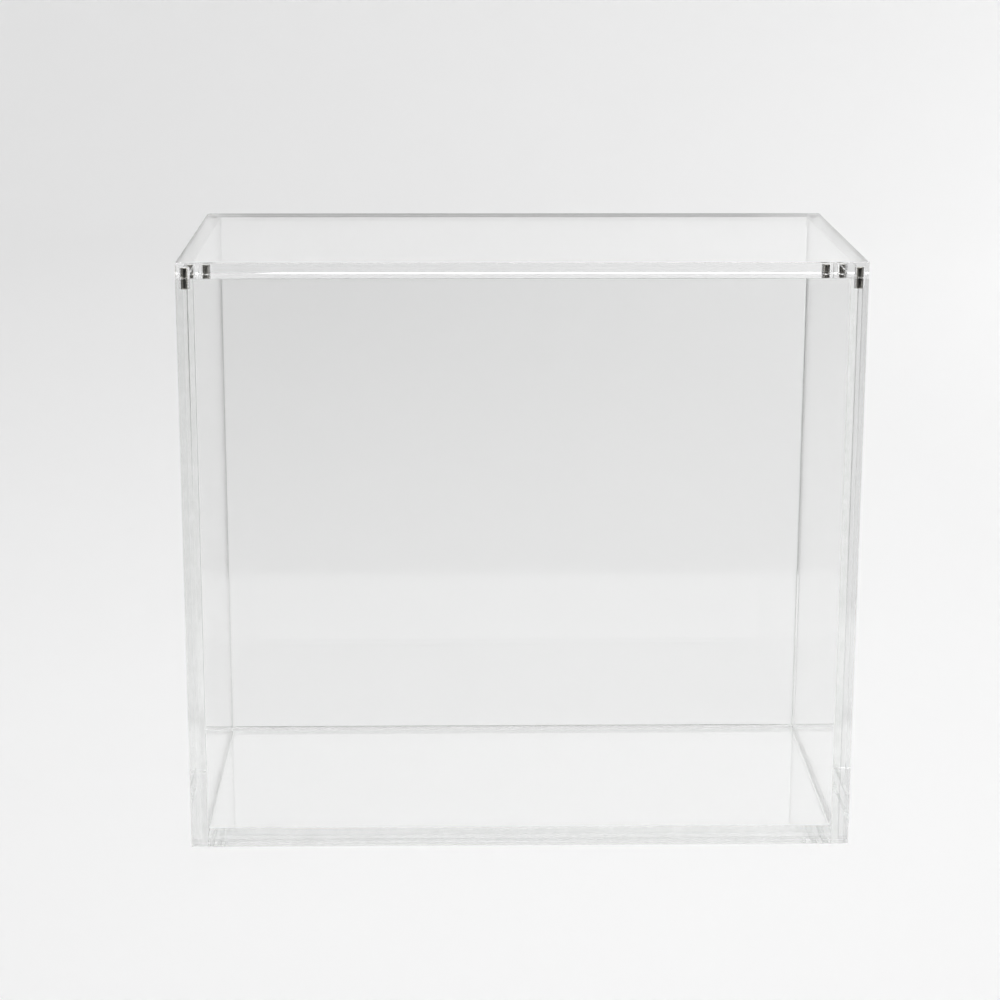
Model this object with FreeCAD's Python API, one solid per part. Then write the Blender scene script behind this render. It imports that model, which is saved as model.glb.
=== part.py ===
import FreeCAD, Part
import os

# Clear acrylic display case: a base and four walls cemented into an open-topped box,
# with a plain lid plate that sits on the walls and is held by a magnet at each corner.
# The cement was run in from the inside: it leaves a small fillet in every inside corner,
# fills the inner part of the joint and stops before it reaches the outer face. Along the
# floor it has crept outwards into a wide, very low fillet.
# Millimetres. +X runs to the right, +Y to the rear, +Z up. The origin is the middle of
# the underside, so the case stands on z = 0 and its front is the -Y side.

# Driving dimensions
WIDTH = 200.0
DEPTH = 103.0
HEIGHT = 179.0
SHEET = 4.7              # real thickness of nominal 5 mm cast sheet
CEMENT = 0.1             # width of the gap in every joint, where the cement runs
CREEP = {"left": 1.8, "right": 2.3}  # how far cement runs into the upright joints
BASE_CREEP = {"front": 2.4, "rear": 4.5, "left": 4.5, "right": 4.5}  # and down round the base
FILLET = 0.5             # reach of the cement along both walls in the upright corners
SPREAD = 1.6             # reach of the cement out over the floor
RISE = 0.06              # and up the walls from the floor
REST_GAP = 0.05          # the magnets meet first, so the lid floats this far above the rim
ARRIS = 0.25             # 45 degree break along the polished outer edges
MAGNET_DIAMETER = 3.0
MAGNET_LENGTH = 3.0
MAGNET_INSET = 2.5       # magnet centre to both outer faces of its corner
MAGNET_ARRIS = 0.15      # rounded edge of the plated magnets
MAGNET_PLAY = 0.05       # air between each magnet and the wall of its pocket
GLUE = 0.1               # dab of glue that holds each magnet to its pocket's floor

# Places that follow from them
HALF_WIDTH = WIDTH / 2
HALF_DEPTH = DEPTH / 2
LID_UNDERSIDE = HEIGHT - SHEET
RIM = LID_UNDERSIDE - REST_GAP
SIDE_LENGTH = DEPTH - 2 * (SHEET + CEMENT)
BASE_WIDTH = WIDTH - 2 * (SHEET + CEMENT)
MAGNET_X = HALF_WIDTH - MAGNET_INSET
MAGNET_Y = HALF_DEPTH - MAGNET_INSET
POCKET_RADIUS = MAGNET_DIAMETER / 2 + MAGNET_PLAY
POCKET_DEPTH = MAGNET_LENGTH + GLUE
RIGHT = FreeCAD.Vector(1, 0, 0)
BACK = FreeCAD.Vector(0, 1, 0)
UP = FreeCAD.Vector(0, 0, 1)
DOWN = FreeCAD.Vector(0, 0, -1)

SIDES = {"left": -1, "right": 1}
ENDS = {"front": -1, "rear": 1}
CORNERS = {
    end + "_" + side: FreeCAD.Vector(SIDES[side] * MAGNET_X, ENDS[end] * MAGNET_Y, 0)
    for end in ENDS
    for side in SIDES
}


def block(low, high):
    """A box between two opposite corners."""
    size = [top - bottom for bottom, top in zip(low, high)]
    return Part.makeBox(size[0], size[1], size[2], FreeCAD.Vector(*low))


def flip(shape, name):
    """A left or front piece as it stands, and a right or rear one as its mirror image."""
    if name == "right":
        return shape.mirror(FreeCAD.Vector(0, 0, 0), FreeCAD.Vector(1, 0, 0))
    if name == "rear":
        return shape.mirror(FreeCAD.Vector(0, 0, 0), FreeCAD.Vector(0, 1, 0))
    return shape


def lies_on(edge, axis, place):
    """True if an edge lies in the plane where one coordinate (0, 1, 2 for X, Y, Z) has a value."""
    return all(abs(vertex.Point[axis] - place) < 1e-6 for vertex in edge.Vertexes)


def break_edges(shape, planes):
    """Chamfer each edge where two of the given outer planes, (axis, place) pairs, meet."""
    edges = [
        edge
        for edge in shape.Edges
        if sum(lies_on(edge, axis, place) for axis, place in planes) == 2
    ]
    return shape.makeChamfer(ARRIS, edges)


def pocket(corner, mouth, direction):
    """Blind hole for a magnet, from its mouth along a direction."""
    start = FreeCAD.Vector(corner.x, corner.y, mouth)
    return Part.makeCylinder(POCKET_RADIUS, POCKET_DEPTH, start, direction)


def magnet(corner, mouth, direction):
    """Plated disc magnet with one end flush with its pocket's mouth."""
    start = FreeCAD.Vector(corner.x, corner.y, mouth)
    solid = Part.makeCylinder(MAGNET_DIAMETER / 2, MAGNET_LENGTH, start, direction)
    rims = [edge for edge in solid.Edges if len(edge.Vertexes) == 1]
    return solid.makeFillet(MAGNET_ARRIS, rims)


def magnet_glue(corner, mouth, direction):
    """Thin disc of glue across the floor of a pocket, behind its magnet."""
    start = FreeCAD.Vector(corner.x, corner.y, mouth) + direction * MAGNET_LENGTH
    return Part.makeCylinder(POCKET_RADIUS, GLUE, start, direction)


def long_panel(name):
    """Front or rear wall: full width, covers the ends of the side walls and the base."""
    low = (-HALF_WIDTH, -HALF_DEPTH, 0)
    high = (HALF_WIDTH, -HALF_DEPTH + SHEET, RIM)
    outside = [(0, -HALF_WIDTH), (0, HALF_WIDTH), (1, -HALF_DEPTH), (2, 0), (2, RIM)]
    panel = flip(break_edges(block(low, high), outside), name)
    for corner_name, corner in CORNERS.items():
        if corner_name.startswith(name):
            panel = panel.cut(pocket(corner, RIM, DOWN))
    return panel


def side_panel(name):
    """Left or right wall, fitted between the front and rear walls."""
    low = (-HALF_WIDTH, -SIDE_LENGTH / 2, 0)
    high = (-HALF_WIDTH + SHEET, SIDE_LENGTH / 2, RIM)
    outside = [(0, -HALF_WIDTH), (2, 0), (2, RIM)]
    return flip(break_edges(block(low, high), outside), name)


def base_panel():
    """Floor of the case, fitted inside all four walls and level with their lower edges."""
    low = (-BASE_WIDTH / 2, -SIDE_LENGTH / 2, 0)
    high = (BASE_WIDTH / 2, SIDE_LENGTH / 2, SHEET)
    return block(low, high)


def lid_panel():
    """Plain plate the size of the case, with a magnet pocket under each corner."""
    low = (-HALF_WIDTH, -HALF_DEPTH, LID_UNDERSIDE)
    high = (HALF_WIDTH, HALF_DEPTH, HEIGHT)
    outside = [
        (0, -HALF_WIDTH),
        (0, HALF_WIDTH),
        (1, -HALF_DEPTH),
        (1, HALF_DEPTH),
        (2, LID_UNDERSIDE),
        (2, HEIGHT),
    ]
    plate = break_edges(block(low, high), outside)
    for corner in CORNERS.values():
        plate = plate.cut(pocket(corner, LID_UNDERSIDE, UP))
    return plate


def fillet_bead(corner, first_reach, second_reach, length):
    """Concave fillet in an inside corner. It meets both walls at a tangent, as far from the
    corner point as the two reach vectors say, and runs along the length vector."""
    first = corner + first_reach
    last = corner + second_reach
    surface = Part.BezierCurve()
    surface.setPoles([first, corner, last])
    sides = [Part.makeLine(last, corner), Part.makeLine(corner, first)]
    return Part.Face(Part.Wire([surface.toShape()] + sides)).extrude(length)


def corner_cement(end, side):
    """Upright film between a side wall's end and the long wall beside it, with its fillet."""
    low = (-HALF_WIDTH + SHEET - CREEP[side], -HALF_DEPTH + SHEET, 0)
    high = (-HALF_WIDTH + SHEET, -HALF_DEPTH + SHEET + CEMENT, RIM)
    corner = FreeCAD.Vector(-HALF_WIDTH + SHEET, -HALF_DEPTH + SHEET, SHEET)
    bead = fillet_bead(corner, RIGHT * FILLET, BACK * FILLET, UP * (RIM - SHEET))
    return flip(flip(block(low, high).fuse(bead), side), end)


def base_end_cement(end):
    """Film between the front or rear edge of the base and the long wall, with its fillet."""
    low = (-BASE_WIDTH / 2, -HALF_DEPTH + SHEET, SHEET - BASE_CREEP[end])
    high = (BASE_WIDTH / 2, -HALF_DEPTH + SHEET + CEMENT, SHEET)
    corner = FreeCAD.Vector(-BASE_WIDTH / 2, -HALF_DEPTH + SHEET, SHEET)
    bead = fillet_bead(corner, BACK * SPREAD, UP * RISE, RIGHT * BASE_WIDTH)
    return flip(block(low, high).fuse(bead), end)


def base_side_cement(side):
    """Film between the left or right edge of the base and the side wall, with its fillet."""
    low = (-HALF_WIDTH + SHEET, -SIDE_LENGTH / 2, SHEET - BASE_CREEP[side])
    high = (-HALF_WIDTH + SHEET + CEMENT, SIDE_LENGTH / 2, SHEET)
    corner = FreeCAD.Vector(-HALF_WIDTH + SHEET, -SIDE_LENGTH / 2, SHEET)
    bead = fillet_bead(corner, RIGHT * SPREAD, UP * RISE, BACK * SIDE_LENGTH)
    return flip(block(low, high).fuse(bead), side)


def all_cement():
    """The eight runs of cement. Where two fillets meet, the upright ones are whole."""
    uprights = {
        "corner_cement_" + end + "_" + side: corner_cement(end, side)
        for end in ENDS
        for side in SIDES
    }
    taken = Part.makeCompound(list(uprights.values()))
    ends = {"base_cement_" + end: base_end_cement(end).cut(taken) for end in ENDS}
    taken = Part.makeCompound(list(uprights.values()) + list(ends.values()))
    sides = {"base_cement_" + side: base_side_cement(side).cut(taken) for side in SIDES}
    return {**uprights, **ends, **sides}


def all_nodes():
    """Every piece of the case by node name."""
    nodes = {"base_panel": base_panel(), "lid_panel": lid_panel()}
    nodes.update({end + "_panel": long_panel(end) for end in ENDS})
    nodes.update({side + "_panel": side_panel(side) for side in SIDES})
    nodes.update(all_cement())
    for name, corner in CORNERS.items():
        nodes["lid_magnet_" + name] = magnet(corner, LID_UNDERSIDE, UP)
        nodes["lid_magnet_glue_" + name] = magnet_glue(corner, LID_UNDERSIDE, UP)
        nodes["wall_magnet_" + name] = magnet(corner, RIM, DOWN)
        nodes["wall_magnet_glue_" + name] = magnet_glue(corner, RIM, DOWN)
    return nodes


os.makedirs("parts", exist_ok=True)
for node_name, node_shape in all_nodes().items():
    node_shape.exportStep("parts/" + node_name + ".step")
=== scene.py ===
import math

import bmesh
import bpy
from mathutils import Matrix, Vector


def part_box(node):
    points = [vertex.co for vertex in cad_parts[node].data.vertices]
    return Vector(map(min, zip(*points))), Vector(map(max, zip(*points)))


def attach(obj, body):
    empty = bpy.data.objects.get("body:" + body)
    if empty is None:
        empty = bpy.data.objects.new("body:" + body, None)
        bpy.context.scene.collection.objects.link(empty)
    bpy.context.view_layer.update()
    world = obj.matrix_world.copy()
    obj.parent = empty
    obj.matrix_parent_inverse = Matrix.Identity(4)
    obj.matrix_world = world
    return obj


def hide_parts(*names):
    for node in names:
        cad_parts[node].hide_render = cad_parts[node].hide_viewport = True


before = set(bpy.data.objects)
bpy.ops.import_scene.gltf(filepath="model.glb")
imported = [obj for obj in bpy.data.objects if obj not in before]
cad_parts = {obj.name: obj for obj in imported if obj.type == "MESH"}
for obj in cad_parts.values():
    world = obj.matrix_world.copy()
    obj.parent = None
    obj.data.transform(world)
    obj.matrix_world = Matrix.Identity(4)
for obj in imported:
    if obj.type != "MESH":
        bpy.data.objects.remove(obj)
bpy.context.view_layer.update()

# Looks of a clear acrylic display case: six polished plates, the cement that joins them, and the
# magnets that hold the lid down. Metres, in the frame of the CAD parts: +X right, +Y rear, +Z up.
# Light bends as it crosses a glassy face. Where cement fills a joint there is nothing to bend at,
# so those faces are plain Transparent, and only the dry part of each joint shows.

# ---------------------------------------------------------------- sizes, from the frame
MM = 0.001
SIDES = {"left": -1, "right": 1}
ENDS = {"front": -1, "rear": 1}
CORNERS = [end + "_" + side for end in ENDS for side in SIDES]

HALF_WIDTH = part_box("front_panel")[1].x
HALF_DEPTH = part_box("rear_panel")[1].y
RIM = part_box("front_panel")[1].z
LID_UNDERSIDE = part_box("lid_panel")[0].z
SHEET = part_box("base_panel")[1].z
BASE_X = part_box("base_panel")[1].x
SIDE_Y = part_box("left_panel")[1].y
INNER_X = HALF_WIDTH - SHEET
INNER_Y = HALF_DEPTH - SHEET
FILLET = INNER_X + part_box("corner_cement_front_left")[1].x
SPREAD = INNER_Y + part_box("base_cement_front")[1].y
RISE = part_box("base_cement_front")[1].z - SHEET
CREEP = {
    "left": -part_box("corner_cement_front_left")[0].x - INNER_X,
    "right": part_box("corner_cement_front_right")[1].x - INNER_X,
}
BASE_CREEP = {name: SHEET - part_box("base_cement_" + name)[0].z for name in [*ENDS, *SIDES]}
POCKET_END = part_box("lid_magnet_glue_front_left")
POCKET_RADIUS = (POCKET_END[1] - POCKET_END[0]).x / 2
POCKET_DEPTH = POCKET_END[1].z - LID_UNDERSIDE

ARRIS = 0.25 * MM        # rounding of the polished outer edges
ARRIS_STEPS = 3          # faces across that rounding
MOUTH = 0.08 * MM        # broken edge round the mouth of each magnet pocket
SKIN = 0.01 * MM         # cement stands this far off the plates, so no two faces coincide
DARK_BAND_WIDTH = 0.28 * MM         # width of the dark grey band painted on the outer border of the cement film in the upright joints
DARK_BAND_FULL = 20 * MM      # nearer to the rim than this it is darkest,
DARK_BAND_FADE = {"left": 75 * MM, "right": 130 * MM}           # and further below it than this, least
DARK_BAND_SHARE = {"left": (0.0, 0.42), "right": (0.12, 0.30)}  # share painted dark grey at its least and most
MAGNET_RIM = 0.15 * MM   # rounding of the plated magnets
MAGNET_RIM_STEPS = 5     # faces across that rounding
GLUE_RIM_STEPS = 6       # faces across the rounded edge of a dab of glue
ROUND_STEPS = 64         # sides of a magnet, its pocket and its glue
BEAD_STEPS = 8           # faces across the curve of a cement bead
STEEP = 40               # degrees between two faces from which the edge stays sharp
NEAR = 1e-6              # two places closer than this are the same
ALONG = 0.999            # a normal with this much of itself along an axis lies along it,
MOSTLY = 0.5             # and with this much it points mostly that way
ACRYLIC_IOR = 1.49
LET_THROUGH = 0.998      # share of lamp and scattered light that a clear face lets straight through

# The finishes of a plate, and those of a run of cement, in the order of their materials
FACE, EDGE, BONDED, DRILLED = range(4)
CEMENT_BONDED, CEMENT_SKIN, CEMENT_DARK_BAND = range(3)


# ---------------------------------------------------------------- material helpers
def new_material(name):
    """An empty node material, its node tree and its output."""
    material = bpy.data.materials.new(name)
    material.use_nodes = True
    tree = material.node_tree
    tree.nodes.clear()
    return material, tree, tree.nodes.new("ShaderNodeOutputMaterial")


def node(tree, kind, settings=None, **inputs):
    """A node with its settings and inputs; an input may be a value or another node's output."""
    made = tree.nodes.new(kind)
    for key, value in (settings or {}).items():
        setattr(made, key, value)
    for key, value in inputs.items():
        socket = made.inputs[int(key[1:])] if key[0] == "_" else made.inputs[key.replace("_", " ")]
        if isinstance(value, bpy.types.NodeSocket):
            tree.links.new(value, socket)
        else:
            socket.default_value = value
    return made


def place(tree, stretch=(1, 1, 1)):
    """The point's place in the object's own metres, stretched along each axis."""
    where = node(tree, "ShaderNodeTexCoord").outputs["Object"]
    return node(tree, "ShaderNodeVectorMath", {"operation": "MULTIPLY"}, _0=where, _1=stretch).outputs[0]


def noise(tree, scale, detail=2.0, stretch=(1, 1, 1), distortion=0.0):
    """Noise from 0 to 1 with this many features to the metre."""
    return node(
        tree, "ShaderNodeTexNoise", Vector=place(tree, stretch), Scale=scale, Detail=detail,
        Distortion=distortion,
    ).outputs[0]


def remap(tree, value, low, high, to_low, to_high):
    """A value from low..high to to_low..to_high, clamped."""
    return node(
        tree, "ShaderNodeMapRange", {"interpolation_type": "SMOOTHSTEP"},
        _0=value, _1=low, _2=high, _3=to_low, _4=to_high,
    ).outputs[0]


def maths(tree, operation, first, second=0.0):
    """One sum on two values."""
    return node(tree, "ShaderNodeMath", {"operation": operation}, _0=first, _1=second).outputs[0]


def tint(tree, factor, low, high):
    """A colour between two greys or colours."""
    ramp = node(tree, "ShaderNodeValToRGB", _0=factor)
    ramp.color_ramp.elements[0].color = (*low, 1)
    ramp.color_ramp.elements[1].color = (*high, 1)
    return ramp.outputs[0]


def bump(tree, height, distance, normal=None):
    """A bump whose height 0..1 stands for this many metres."""
    made = node(tree, "ShaderNodeBump", Height=height, Distance=distance, Strength=1.0)
    if normal is not None:
        tree.links.new(normal, made.inputs["Normal"])
    return made.outputs[0]


def hairlines(tree, scale, stretch):
    """Thin curved scratches, 1 on a line and 0 beside it, that run mostly along the squeezed axis."""
    wander = noise(tree, scale, 1, stretch)
    off_line = maths(tree, "ABSOLUTE", maths(tree, "SUBTRACT", wander, 0.5))
    line_width = 0.006
    return remap(tree, off_line, 0.0, line_width, 1.0, 0.0)


def clear_plastic(name, colour, roughness, normal=None):
    """Clear plastic made from functions of its node tree. Lamps and scattered light go straight in."""
    material, tree, output = new_material(name)
    solid = node(
        tree, "ShaderNodeBsdfPrincipled", IOR=ACRYLIC_IOR, Transmission_Weight=1.0,
        Base_Color=colour(tree), Roughness=roughness(tree),
    )
    if normal is not None:
        tree.links.new(normal(tree), solid.inputs["Normal"])
    path = node(tree, "ShaderNodeLightPath")
    open_way = node(tree, "ShaderNodeBsdfTransparent", Color=(LET_THROUGH,) * 3 + (1,))
    lamps = node(tree, "ShaderNodeMixShader", _0=path.outputs["Is Shadow Ray"])
    tree.links.new(solid.outputs[0], lamps.inputs[1])
    tree.links.new(open_way.outputs[0], lamps.inputs[2])
    scattered = node(tree, "ShaderNodeMixShader", _0=path.outputs["Is Diffuse Ray"])
    tree.links.new(lamps.outputs[0], scattered.inputs[1])
    tree.links.new(open_way.outputs[0], scattered.inputs[2])
    tree.links.new(scattered.outputs[0], output.inputs["Surface"])
    return material


# ---------------------------------------------------------------- materials
def polished_face():
    """Cast sheet as it leaves the mould: glossy, with faint smears and hairline scratches."""
    def colour(tree):
        return tint(tree, noise(tree, 9, 2), (0.988, 0.990, 0.989), (0.998, 0.999, 0.998))

    def roughness(tree):
        smears = remap(tree, noise(tree, 28, 3, (1, 1, 0.45)), 0.5, 0.75, 0.0, 0.03)
        scratches = maths(tree, "MULTIPLY", hairlines(tree, 40, (1, 1, 0.12)), 0.05)
        return maths(tree, "ADD", smears, scratches)

    return clear_plastic("acrylic_face", colour, roughness)


def sawn_edge():
    """Sawn and buffed edge of the sheet: fine cutter marks left under the polish."""
    def colour(tree):
        return tint(tree, noise(tree, 160, 3), (0.965, 0.970, 0.968), (0.995, 0.996, 0.996))

    def roughness(tree):
        return remap(tree, noise(tree, 420, 3, (1, 1, 0.5)), 0.35, 0.8, 0.012, 0.07)

    def normal(tree):
        return bump(tree, noise(tree, 500, 1), 0.0006 * MM)

    return clear_plastic("acrylic_edge", colour, roughness, normal)


def drilled_wall():
    """Wall of a drilled pocket: turned rings and a light frost."""
    def colour(tree):
        return tint(tree, noise(tree, 900, 2), (0.94, 0.945, 0.945), (0.985, 0.99, 0.99))

    def roughness(tree):
        return remap(tree, noise(tree, 1500, 2), 0.3, 0.8, 0.03, 0.13)

    def normal(tree):
        rings = noise(tree, 5200, 1, (0.03, 0.03, 1))
        return bump(tree, rings, 0.003 * MM)

    return clear_plastic("acrylic_drilled", colour, roughness, normal)


def cement_skin():
    """Free surface of the hardened cement: clear, gently rippled along the bead, a few pinholes."""
    def colour(tree):
        return tint(tree, noise(tree, 300, 2), (0.955, 0.960, 0.955), (0.995, 0.997, 0.995))

    def roughness(tree):
        return remap(tree, noise(tree, 700, 3), 0.4, 0.8, 0.008, 0.09)

    def normal(tree):
        ripples = bump(tree, noise(tree, 240, 2), 0.02 * MM)
        pits = node(
            tree, "ShaderNodeTexVoronoi", Vector=place(tree), Scale=900.0
        ).outputs["Distance"]
        return bump(tree, remap(tree, pits, 0.05, 0.16, 0.0, 1.0), 0.01 * MM, ripples)

    return clear_plastic("cement_skin", colour, roughness, normal)


def bonded_face(name="acrylic_bonded"):
    """Face inside a filled joint: plastic goes straight on into cement, with faint flow marks."""
    material, tree, output = new_material(name)
    marks = noise(tree, 650, 3, (1, 1, 0.4), 0.8)
    colour = tint(tree, remap(tree, marks, 0.35, 0.75, 0.0, 1.0), (0.985, 0.987, 0.985), (1, 1, 1))
    through = node(tree, "ShaderNodeBsdfTransparent", Color=colour)
    tree.links.new(through.outputs[0], output.inputs["Surface"])
    return material


def cement_dark_band(side):
    """Outer border of the cement film, with a dark grey band painted on it: darkest near the rim, fading
    downward.

    Its mirror image in the end of the wall is left out: the real border is too fine to show twice.
    """
    material, tree, output = new_material("cement_dark_band_" + side)
    height = node(tree, "ShaderNodeSeparateXYZ", _0=place(tree)).outputs["Z"]
    foot, top = DARK_BAND_SHARE[side]
    fade = remap(tree, height, RIM - DARK_BAND_FADE[side], RIM - DARK_BAND_FULL, foot, top)
    broken = remap(tree, noise(tree, 900, 3, (1, 1, 0.15)), 0.3, 0.6, 0.75, 1.0)
    share = maths(tree, "MULTIPLY", fade, broken)
    # painted dark band: a near-black matte sheet over the film's border, darker towards the rim
    colour = tint(tree, noise(tree, 1300, 2), (0.10, 0.10, 0.10), (0.22, 0.22, 0.215))
    dark_sheet = node(tree, "ShaderNodeBsdfPrincipled", Base_Color=colour, Roughness=0.6)
    through = node(tree, "ShaderNodeBsdfTransparent", Color=(1, 1, 1, 1))
    mix = node(tree, "ShaderNodeMixShader", _0=share)
    tree.links.new(through.outputs[0], mix.inputs[1])
    tree.links.new(dark_sheet.outputs[0], mix.inputs[2])
    path = node(tree, "ShaderNodeLightPath")
    seen = node(tree, "ShaderNodeMixShader", _0=path.outputs["Is Reflection Ray"])
    tree.links.new(mix.outputs[0], seen.inputs[1])
    tree.links.new(through.outputs[0], seen.inputs[2])
    tree.links.new(seen.outputs[0], output.inputs["Surface"])
    return material


def nickel():
    """Nickel plate over a sintered magnet: a little cloudy, with fine tumbling scratches."""
    material, tree, output = new_material("nickel_plate")
    cloudy = noise(tree, 1200, 3)
    fine = noise(tree, 6000, 2, (1, 1, 0.2))
    scratches = remap(tree, noise(tree, 9000, 1, (1, 0.08, 1), 0.4), 0.58, 0.64, 0.0, 1.0)
    base = tint(tree, cloudy, (0.50, 0.485, 0.45), (0.70, 0.675, 0.62))
    tumbled = remap(tree, fine, 0.3, 0.8, 0.10, 0.26)
    rough = maths(tree, "ADD", tumbled, maths(tree, "MULTIPLY", scratches, 0.15))
    relief = bump(tree, scratches, 0.0008 * MM, bump(tree, cloudy, 0.004 * MM))
    metal = node(
        tree, "ShaderNodeBsdfPrincipled", Base_Color=base, Metallic=1.0, Roughness=rough,
        Normal=relief,
    )
    tree.links.new(metal.outputs[0], output.inputs["Surface"])
    return material


def glue():
    """Clear glue gone faintly straw-coloured, with small trapped bubbles."""
    def colour(tree):
        return tint(tree, noise(tree, 1100, 3), (0.80, 0.78, 0.70), (0.94, 0.93, 0.88))

    def roughness(tree):
        return remap(tree, noise(tree, 2500, 2), 0.3, 0.8, 0.05, 0.14)

    def normal(tree):
        bubbles = node(
            tree, "ShaderNodeTexVoronoi", Vector=place(tree), Scale=2600.0
        ).outputs["Distance"]
        return bump(tree, remap(tree, bubbles, 0.1, 0.3, 0.0, 1.0), 0.02 * MM)

    return clear_plastic("glue_clear", colour, roughness, normal)


# ---------------------------------------------------------------- mesh helpers
def object_from(mesh, name, materials):
    """A mesh object made from a bmesh, which is freed."""
    data = bpy.data.meshes.new(name)
    mesh.to_mesh(data)
    mesh.free()
    for material in materials:
        data.materials.append(material)
    made = bpy.data.objects.new(name, data)
    bpy.context.scene.collection.objects.link(made)
    return made


def add_box(mesh, stops):
    """Adds a closed box whose six sides are split at the given stops along each axis."""
    found = {}

    def vertex(index):
        if index not in found:
            found[index] = mesh.verts.new([stops[axis][index[axis]] for axis in range(3)])
        return found[index]

    for axis in range(3):
        across, along = (axis + 1) % 3, (axis + 2) % 3
        for end in (0, len(stops[axis]) - 1):
            for i in range(len(stops[across]) - 1):
                for j in range(len(stops[along]) - 1):
                    ring = []
                    for step_i, step_j in ((0, 0), (1, 0), (1, 1), (0, 1)):
                        index = [end, end, end]
                        index[across] = i + step_i
                        index[along] = j + step_j
                        ring.append(vertex(tuple(index)))
                    mesh.faces.new(ring if end else ring[::-1])


def round_edges(mesh, planes):
    """Rounds each edge where two of the given outer planes, (axis, place) pairs, meet."""
    def lies_on(edge, axis, where):
        return all(abs(corner.co[axis] - where) < NEAR for corner in edge.verts)

    edges = [
        edge
        for edge in mesh.edges
        if sum(lies_on(edge, axis, where) for axis, where in planes) == 2
    ]
    bmesh.ops.bevel(
        mesh, geom=edges, offset=ARRIS, segments=ARRIS_STEPS, profile=0.5, affect="EDGES",
        clamp_overlap=False,
    )


def add_lathe(mesh, centre, profile):
    """Adds a closed round solid from (radius, height) points that start and end on the axis."""
    rings = []
    for radius, height in profile:
        if radius < NEAR:
            rings.append([mesh.verts.new(centre + Vector((0, 0, height)))])
            continue
        turns = [2 * math.pi * step / ROUND_STEPS for step in range(ROUND_STEPS)]
        rings.append([
            mesh.verts.new(centre + Vector((radius * math.cos(turn), radius * math.sin(turn), height)))
            for turn in turns
        ])
    for lower, upper in zip(rings, rings[1:]):
        for step in range(ROUND_STEPS):
            after = (step + 1) % ROUND_STEPS
            if len(lower) == 1:
                mesh.faces.new((lower[0], upper[after], upper[step]))
            elif len(upper) == 1:
                mesh.faces.new((lower[step], lower[after], upper[0]))
            else:
                mesh.faces.new((lower[step], lower[after], upper[after], upper[step]))
    bmesh.ops.recalc_face_normals(mesh, faces=mesh.faces)


def arc(centre_radius, centre_height, radius, start, end, steps):
    """Points of a rounded rim for a lathe profile, angles in degrees."""
    angles = [math.radians(start + (end - start) * step / steps) for step in range(steps + 1)]
    return [
        (centre_radius + radius * math.cos(angle), centre_height + radius * math.sin(angle))
        for angle in angles
    ]


def shade(mesh, curved):
    """Smooth shading for the curved faces only, sharp at their borders and at steep edges."""
    curved = set(curved)
    for face in mesh.faces:
        face.smooth = face in curved
    for edge in mesh.edges:
        both_curved = all(face in curved for face in edge.link_faces)
        edge.smooth = both_curved and edge.calc_face_angle(math.pi) < math.radians(STEEP)


def place_piece(made, body, slot, *nodes):
    """Hands a piece to the frame: what it rides on and what it stands for, whose CAD parts it hides. The
    slot, which finish it takes, is not used.
    """
    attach(made, body)
    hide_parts(*nodes)


# ---------------------------------------------------------------- plates
def between(first, second):
    """Two places along an axis as a (low, high) pair."""
    return (min(first, second), max(first, second))


def cement_zones():
    """Boxes, as (low, high) pairs along X, Y and Z, inside which a plate's face is bonded."""
    zones = []
    high = SHEET + RISE
    for side, s in SIDES.items():
        for e in ENDS.values():
            film_x = between(s * INNER_X, s * (INNER_X + CREEP[side]))
            zones.append((film_x, between(e * SIDE_Y, e * INNER_Y), (0, RIM)))
            bead_x = between(s * (INNER_X - FILLET), s * INNER_X)
            zones.append((bead_x, between(e * (INNER_Y - FILLET), e * INNER_Y), (SHEET, RIM)))
        base_x = between(s * (INNER_X - SPREAD), s * INNER_X)
        zones.append((base_x, (-INNER_Y, INNER_Y), (SHEET, high)))
        low = SHEET - BASE_CREEP[side]
        zones.append((between(s * BASE_X, s * INNER_X), (-SIDE_Y, SIDE_Y), (low, SHEET)))
    for end, e in ENDS.items():
        low = SHEET - BASE_CREEP[end]
        base_y = between(e * (INNER_Y - SPREAD), e * INNER_Y)
        zones.append(((-INNER_X, INNER_X), base_y, (SHEET, high)))
        zones.append(((-BASE_X, BASE_X), between(e * SIDE_Y, e * INNER_Y), (low, SHEET)))
    return zones


def inside(face, zone):
    """True if every corner of a face lies in a zone."""
    return all(
        low - NEAR <= corner.co[axis] <= high + NEAR
        for corner in face.verts
        for axis, (low, high) in enumerate(zone)
    )


def pockets_of(panel):
    """Magnet pockets of a panel, as (middle of the mouth, way in along Z) pairs."""
    if panel == "lid_panel":
        family, mouth, way, corners = "lid", LID_UNDERSIDE, 1, CORNERS
    else:
        family, mouth, way = "wall", RIM, -1
        corners = [corner for corner in CORNERS if panel == corner.split("_")[0] + "_panel"]
    found = []
    for corner in corners:
        low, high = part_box(family + "_magnet_" + corner)
        middle = (low + high) / 2
        found.append((Vector((middle.x, middle.y, mouth)), way))
    return found


def drill(made, pockets):
    """Cuts the magnet pockets out of a plate."""
    mesh = bmesh.new()
    for mouth, way in pockets:
        start = -way * MM  # the cutter starts a millimetre outside the plate
        profile = [
            (0, start),
            (POCKET_RADIUS + MOUTH, start),
            (POCKET_RADIUS + MOUTH, 0),
            (POCKET_RADIUS, way * MOUTH),
            (POCKET_RADIUS, way * POCKET_DEPTH),
            (0, way * POCKET_DEPTH),
        ]
        add_lathe(mesh, mouth, profile)
    cutter = object_from(mesh, "cutter", [])
    cut = made.modifiers.new("pockets", "BOOLEAN")
    cut.operation = "DIFFERENCE"
    cut.solver = "EXACT"
    cut.object = cutter
    bpy.context.view_layer.update()
    evaluated = made.evaluated_get(bpy.context.evaluated_depsgraph_get())
    finished = bpy.data.meshes.new_from_object(evaluated)
    made.modifiers.clear()
    made.data = finished
    bpy.data.objects.remove(cutter)


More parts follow.
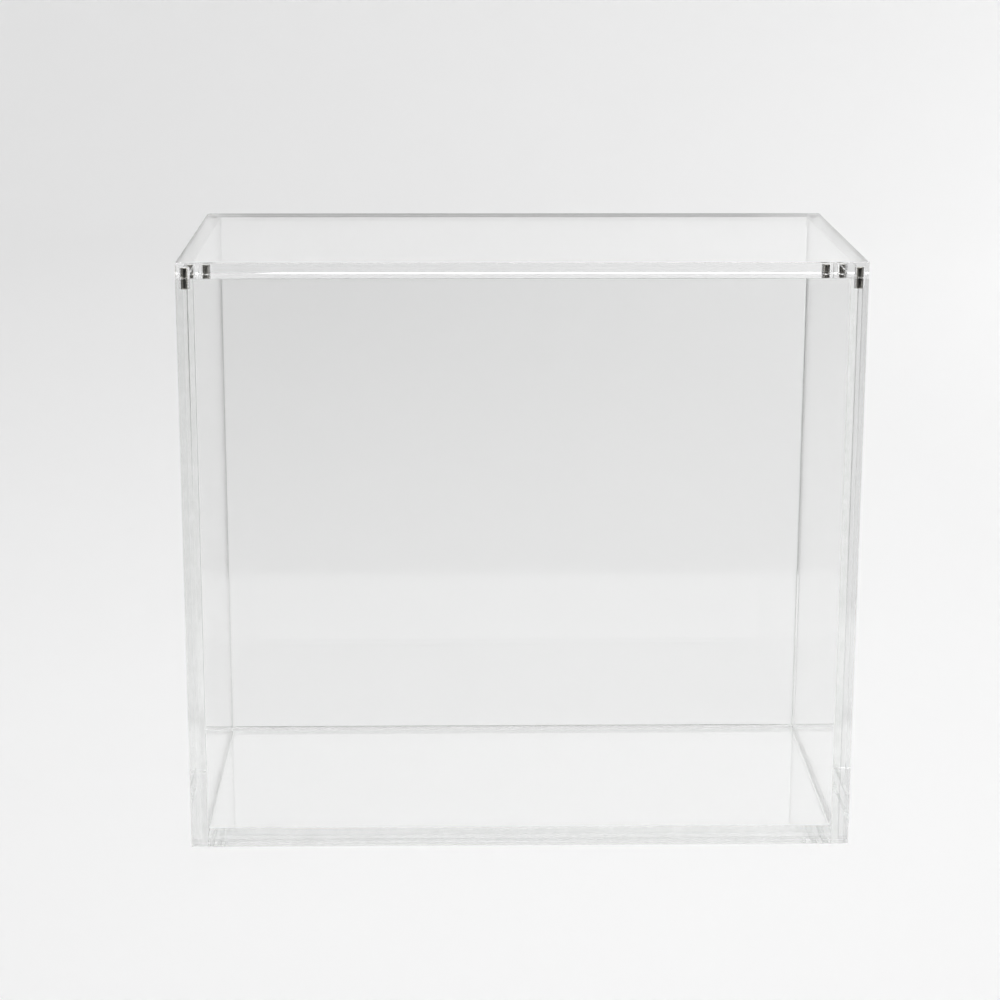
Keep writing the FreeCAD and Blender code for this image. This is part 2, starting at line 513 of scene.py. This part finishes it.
def in_pocket(face, pockets):
    """True if every corner of a face lies in or round one pocket."""
    reach = POCKET_RADIUS + MOUTH + NEAR
    return any(
        all(
            math.hypot(corner.co.x - mouth.x, corner.co.y - mouth.y) < reach
            for corner in face.verts
        )
        for mouth, _ in pockets
    )


def plate(panel, name, body, materials, zones, round_planes):
    """A clear plate the size of a CAD panel, each of its faces with the finish it has there."""
    low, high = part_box(panel)
    thin = min(range(3), key=lambda axis: high[axis] - low[axis])
    stops = []
    for axis in range(3):
        # Rounded, so that a place where two zones meet is cut only once
        inner = {
            round(where, 7)
            for zone in zones
            for where in zone[axis]
            if low[axis] + ARRIS + NEAR < where < high[axis] - ARRIS - NEAR
        }
        stops.append([low[axis], *sorted(inner), high[axis]])
    mesh = bmesh.new()
    add_box(mesh, stops)
    round_edges(mesh, round_planes)
    made = object_from(mesh, name, materials)
    pockets = pockets_of(panel)
    if pockets:
        drill(made, pockets)
    mesh = bmesh.new()
    mesh.from_mesh(made.data)
    curved = []
    for face in mesh.faces:
        face.material_index = FACE if abs(face.normal[thin]) > ALONG else EDGE
        if any(inside(face, zone) for zone in zones):
            face.material_index = BONDED
        elif in_pocket(face, pockets):
            face.material_index = DRILLED
            if abs(face.normal.z) < ALONG:
                curved.append(face)
    shade(mesh, curved)
    mesh.to_mesh(made.data)
    mesh.free()
    place_piece(made, body, "clear_acrylic", panel)


def outer_planes(*names):
    """The (axis, place) planes of the case's outside by name."""
    planes = {
        "left": (0, -HALF_WIDTH),
        "right": (0, HALF_WIDTH),
        "front": (1, -HALF_DEPTH),
        "rear": (1, HALF_DEPTH),
        "foot": (2, 0.0),
        "rim": (2, RIM),
        "under": (2, LID_UNDERSIDE),
        "top": (2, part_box("lid_panel")[1].z),
    }
    return [planes[name] for name in names]


def all_plates(materials):
    """The base, four walls and lid."""
    zones = cement_zones()
    plate("base_panel", "base_plate", "case", materials, zones, [])
    for end in ENDS:
        planes = outer_planes("left", "right", end, "foot", "rim")
        plate(end + "_panel", end + "_wall", "case", materials, zones, planes)
    for side in SIDES:
        planes = outer_planes(side, "foot", "rim")
        plate(side + "_panel", side + "_wall", "case", materials, zones, planes)
    planes = outer_planes("left", "right", "front", "rear", "under", "top")
    plate("lid_panel", "lid_plate", "lid", materials, [], planes)


# ---------------------------------------------------------------- cement
def add_bead(mesh, corner, first_reach, second_reach, length_way):
    """Adds a concave fillet along an inside corner: corner point, its two reaches, and its run."""
    inset = (first_reach.normalized() + second_reach.normalized()) * SKIN
    section = [corner + inset]
    for step in range(BEAD_STEPS + 1):
        share = step / BEAD_STEPS
        section.append(corner + first_reach * (1 - share) ** 2 + second_reach * share ** 2)
    near_end = [mesh.verts.new(point) for point in section]
    far_end = [mesh.verts.new(point + length_way) for point in section]
    count = len(section)
    curved = []
    for i in range(count):
        after = (i + 1) % count
        face = mesh.faces.new((near_end[i], near_end[after], far_end[after], far_end[i]))
        if 0 < i < count - 1:
            curved.append(face)
    caps = (mesh.faces.new(near_end[::-1]), mesh.faces.new(far_end))
    return curved, caps


def finish_cement(mesh, name, materials, skin_faces, dark_band_faces, node_name):
    """Turns a run of cement into a piece: bonded all over but for its skin and the border that carries
    the painted dark band.
    """
    for face in mesh.faces:
        face.material_index = CEMENT_BONDED
    for face in skin_faces:
        face.material_index = CEMENT_SKIN
    for face in dark_band_faces:
        face.material_index = CEMENT_DARK_BAND
    bmesh.ops.recalc_face_normals(mesh, faces=mesh.faces)
    shade(mesh, skin_faces)
    made = object_from(mesh, name, materials)
    place_piece(made, "case", "acrylic_cement", node_name)


def film_stops(near, far):
    """Stops across a film from its inner end to its outer end, with the border for the painted dark band
    cut off.
    """
    return sorted([near, far, far + math.copysign(DARK_BAND_WIDTH, near - far)])


def corner_cement(end, side, materials):
    """Upright film between a side wall and a long wall, with its fillet inside the case."""
    s, e = SIDES[side], ENDS[end]
    mesh = bmesh.new()
    outer = s * (INNER_X + CREEP[side])
    x_stops = film_stops(s * INNER_X, outer)
    y_stops = sorted([e * (SIDE_Y + SKIN), e * (INNER_Y - SKIN)])
    add_box(mesh, [x_stops, y_stops, [SKIN, RIM - SKIN]])
    dark_band = []
    skin = []
    for face in mesh.faces:
        middle = face.calc_center_median()
        face.normal_update()
        # faces that carry the painted dark band
        if abs(face.normal.y) > MOSTLY and abs(middle.x - outer) < DARK_BAND_WIDTH:
            dark_band.append(face)
        elif abs(middle.x - outer) < NEAR or abs(face.normal.z) > MOSTLY:
            skin.append(face)
    corner = Vector((s * INNER_X, e * INNER_Y, SHEET + SKIN))
    run = Vector((0, 0, RIM - SHEET - 2 * SKIN))
    reaches = Vector((-s * FILLET, 0, 0)), Vector((0, -e * FILLET, 0))
    curved, (_, upper_cap) = add_bead(mesh, corner, *reaches, run)
    skin += [*curved, upper_cap]
    node_name = "corner_cement_" + end + "_" + side
    finish_cement(mesh, "cement_" + end + "_" + side, materials, skin, dark_band, node_name)


def base_cement(name, materials):
    """Film between an edge of the base and the wall beside it, with its fillet along the floor."""
    mesh = bmesh.new()
    z_stops = [SHEET - BASE_CREEP[name], SHEET]
    if name in ENDS:
        e = ENDS[name]
        y_stops = sorted([e * (SIDE_Y + SKIN), e * (INNER_Y - SKIN)])
        add_box(mesh, [[-BASE_X, BASE_X], y_stops, z_stops])
        corner = Vector((-INNER_X + SKIN, e * INNER_Y, SHEET))
        away, run = Vector((0, -e, 0)), Vector((2 * (INNER_X - SKIN), 0, 0))
    else:
        s = SIDES[name]
        x_stops = sorted([s * (BASE_X + SKIN), s * (INNER_X - SKIN)])
        add_box(mesh, [x_stops, [-SIDE_Y, SIDE_Y], z_stops])
        corner = Vector((s * INNER_X, -SIDE_Y + SKIN, SHEET))
        away, run = Vector((-s, 0, 0)), Vector((0, 2 * (SIDE_Y - SKIN), 0))
    skin = [face for face in mesh.faces if abs(face.calc_center_median().z - z_stops[0]) < NEAR]
    curved, _ = add_bead(mesh, corner, away * SPREAD, Vector((0, 0, RISE)), run)
    finish_cement(mesh, "cement_base_" + name, materials, skin + curved, [], "base_cement_" + name)


def all_cement():
    """The four upright runs of cement and the four round the base."""
    bonded = bonded_face("cement_bonded")
    skin = cement_skin()
    for side in SIDES:
        materials = [bonded, skin, cement_dark_band(side)]
        for end in ENDS:
            corner_cement(end, side, materials)
    for name in [*ENDS, *SIDES]:
        base_cement(name, [bonded, skin])


# ---------------------------------------------------------------- magnets
def magnet(node_name, name, body, material):
    """A plated disc magnet with rounded rims."""
    low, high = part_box(node_name)
    radius = (high.x - low.x) / 2
    centre = Vector(((low.x + high.x) / 2, (low.y + high.y) / 2, 0))
    profile = [(0, low.z)]
    inner = radius - MAGNET_RIM
    profile += arc(inner, low.z + MAGNET_RIM, MAGNET_RIM, -90, 0, MAGNET_RIM_STEPS)
    profile += arc(inner, high.z - MAGNET_RIM, MAGNET_RIM, 0, 90, MAGNET_RIM_STEPS)
    profile += [(0, high.z)]
    mesh = bmesh.new()
    add_lathe(mesh, centre, profile)
    shade(mesh, mesh.faces)
    made = object_from(mesh, name, [material])
    place_piece(made, body, "nickel_plate", node_name)


def glue_dab(node_name, name, body, material):
    """A thin round dab of glue with a rounded edge, at the floor of a pocket."""
    low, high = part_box(node_name)
    centre = Vector(((low.x + high.x) / 2, (low.y + high.y) / 2, 0))
    bottom, top = low.z + SKIN, high.z - SKIN
    edge = (top - bottom) / 2
    radius = (high.x - low.x) / 2 - SKIN
    profile = [(0, bottom)]
    profile += arc(radius - edge, bottom + edge, edge, -90, 90, GLUE_RIM_STEPS)
    profile += [(0, top)]
    mesh = bmesh.new()
    add_lathe(mesh, centre, profile)
    shade(mesh, mesh.faces)
    made = object_from(mesh, name, [material])
    place_piece(made, body, "magnet_glue", node_name)


def all_magnets():
    """A magnet and its dab of glue at each corner of the lid and of the walls below it."""
    plated, dab = nickel(), glue()
    for family, body in (("lid", "lid"), ("wall", "case")):
        for corner in CORNERS:
            magnet(family + "_magnet_" + corner, family + "_disc_" + corner, body, plated)
            glue_name = family + "_magnet_glue_" + corner
            glue_dab(glue_name, family + "_glue_" + corner, body, dab)


# ---------------------------------------------------------------- stage
FLOOR_RING = 0.4                   # a ring of edges across the flat floor
FLOOR_REACH = 1.2                  # the floor is flat out to here,
COVE_RADIUS = 0.8                  # then it curves up into the wall,
COVE_TOP = 2.6                     # which ends at this height
FLOOR_DROP = 0.05 * MM             # the floor lies this far under the case
COVE_STEPS, COVE_TURNS = 24, 128   # faces up the curve and round it
DIM_SHARE = 0.9                    # in reflections the paper to the front is this much darker
DIM_FROM, DIM_TO = -0.148, -0.168  # where that sets in, along Y
DARK_FROM, DARK_TO = -0.45, -0.8   # and where the rest of the studio falls quite dark
DARK_GREY = 0.015                  # how dark that is
GLOW_FROM, GLOW_TO = 0.22, 0.55    # the backdrop is lit from behind above this height
GLOW = 0.105                       # how strongly
SKY = 0.85                         # strength of the light from all round


def stage_material():
    """Pale paper. Polished faces that mirror the front part of it see an unlit room instead."""
    material, tree, output = new_material("stage_paper")
    where = place(tree)
    paper = tint(tree, noise(tree, 3, 3), (0.905, 0.905, 0.905), (0.92, 0.92, 0.92))
    front = node(tree, "ShaderNodeSeparateXYZ", _0=where).outputs["Y"]
    dim = remap(tree, front, DIM_TO, DIM_FROM, DIM_SHARE, 0.0)
    dark = maths(tree, "ADD", dim, remap(tree, front, DARK_TO, DARK_FROM, 1.0 - DIM_SHARE, 0.0))
    path = node(tree, "ShaderNodeLightPath")
    mirrored = maths(tree, "MINIMUM", path.outputs["Glossy Depth"], 1.0)
    scattered = maths(tree, "MINIMUM", path.outputs["Diffuse Depth"], 1.0)
    straight = maths(tree, "MULTIPLY", mirrored, maths(tree, "SUBTRACT", 1.0, scattered))
    share = maths(tree, "MULTIPLY", dark, straight)
    unlit = (DARK_GREY, DARK_GREY, DARK_GREY, 1)
    colour = node(
        tree, "ShaderNodeMix", {"data_type": "RGBA"}, _0=share, _6=paper, _7=unlit
    ).outputs[2]
    face = node(tree, "ShaderNodeBsdfPrincipled", Base_Color=colour, Roughness=0.9)
    face.inputs["Specular IOR Level"].default_value = 0.0
    height = node(tree, "ShaderNodeSeparateXYZ", _0=where).outputs["Z"]
    glow = remap(tree, height, GLOW_FROM, GLOW_TO, 0.0, GLOW)
    lit = maths(tree, "MULTIPLY", glow, maths(tree, "SUBTRACT", 1.0, share))
    face.inputs["Emission Color"].default_value = (1, 1, 1, 1)
    tree.links.new(lit, face.inputs["Emission Strength"])
    tree.links.new(face.outputs[0], output.inputs["Surface"])
    return material


def round_cove():
    """A seamless round backdrop: flat floor, quarter-round and upright wall."""
    profile = [(0.0, 0.0), (FLOOR_RING, 0.0), (FLOOR_REACH, 0.0)]
    for step in range(1, COVE_STEPS + 1):
        angle = math.pi / 2 * step / COVE_STEPS
        profile.append((
            FLOOR_REACH + COVE_RADIUS * math.sin(angle), COVE_RADIUS * (1 - math.cos(angle))
        ))
    profile.append((FLOOR_REACH + COVE_RADIUS, COVE_TOP))
    mesh = bmesh.new()
    rings = []
    for radius, height in profile:
        count = 1 if radius < NEAR else COVE_TURNS
        rings.append([
            mesh.verts.new((
                radius * math.cos(2 * math.pi * step / COVE_TURNS),
                radius * math.sin(2 * math.pi * step / COVE_TURNS),
                height - FLOOR_DROP,
            ))
            for step in range(count)
        ])
    for lower, upper in zip(rings, rings[1:]):
        for step in range(COVE_TURNS):
            after = (step + 1) % COVE_TURNS
            if len(lower) == 1:
                mesh.faces.new((lower[0], upper[step], upper[after]))
            else:
                mesh.faces.new((lower[step], upper[step], upper[after], lower[after]))
    made = object_from(mesh, "backdrop", [stage_material()])
    made.data.shade_smooth()


def softbox(name, position, target, size, power):
    """A square soft lamp that faces a point."""
    lamp = bpy.data.lights.new(name, "AREA")
    lamp.shape = "SQUARE"
    lamp.size = size
    lamp.energy = power
    made = bpy.data.objects.new(name, lamp)
    bpy.context.scene.collection.objects.link(made)
    made.location = position
    made.rotation_euler = (Vector(target) - Vector(position)).to_track_quat("-Z", "Y").to_euler()


def lights():
    """Even light all round, a lamp on the paper behind to the right, and a small one overhead."""
    world = bpy.data.worlds.new("studio")
    bpy.context.scene.world = world
    world.use_nodes = True
    sky = world.node_tree.nodes["Background"]
    sky.inputs["Color"].default_value = (1, 1, 1, 1)
    sky.inputs["Strength"].default_value = SKY
    softbox("key", position=(1.25, 0.7, 0.9), target=(0.75, 1.4, 0.1), size=0.8, power=7.4)
    softbox("top", position=(0.08, -0.15, 0.75), target=(0.08, -0.15, 0.0), size=0.4, power=1.53)


# ---------------------------------------------------------------- camera
CAMERA_PLACE = (-0.02115, -0.77837, 0.29313)
CAMERA_TURNS = (("X", 14.249), ("Y", -1.124), ("Z", 0.122))  # degrees: tilt down, swing, roll
CAMERA_LENS, SENSOR_WIDTH = 91.76, 36.0                      # millimetres
CLEAR_OF_LENS = 0.01                                         # nothing nearer than this is seen
BOUNCES = 32


def camera():
    """The photographer's view: close, a little above the lid and left of the middle."""
    lens = bpy.data.cameras.new("camera")
    lens.sensor_width = SENSOR_WIDTH
    lens.lens = CAMERA_LENS
    lens.clip_start = CLEAR_OF_LENS
    made = bpy.data.objects.new("camera", lens)
    bpy.context.scene.collection.objects.link(made)
    tilt, swing, roll = [
        Matrix.Rotation(math.radians(degrees), 3, axis) for axis, degrees in CAMERA_TURNS
    ]
    level = Matrix(((1, 0, 0), (0, 0, -1), (0, 1, 0)))
    right, down, ahead = tilt @ swing @ roll @ level
    turned = Matrix((right, -down, -ahead)).transposed()
    made.matrix_world = Matrix.Translation(CAMERA_PLACE) @ turned.to_4x4()
    bpy.context.scene.camera = made


def render_look():
    """Enough bounces for light to get through every plate and joint."""
    scene = bpy.context.scene
    scene.view_settings.view_transform = "Standard"
    scene.cycles.max_bounces = BOUNCES
    scene.cycles.transmission_bounces = BOUNCES
    scene.cycles.glossy_bounces = BOUNCES
    scene.cycles.diffuse_bounces = 2
    scene.cycles.transparent_max_bounces = 2 * BOUNCES
    scene.cycles.use_denoising = True


# ---------------------------------------------------------------- build
all_plates([polished_face(), sawn_edge(), bonded_face(), drilled_wall()])
all_cement()
all_magnets()
round_cove()
lights()
camera()
render_look()
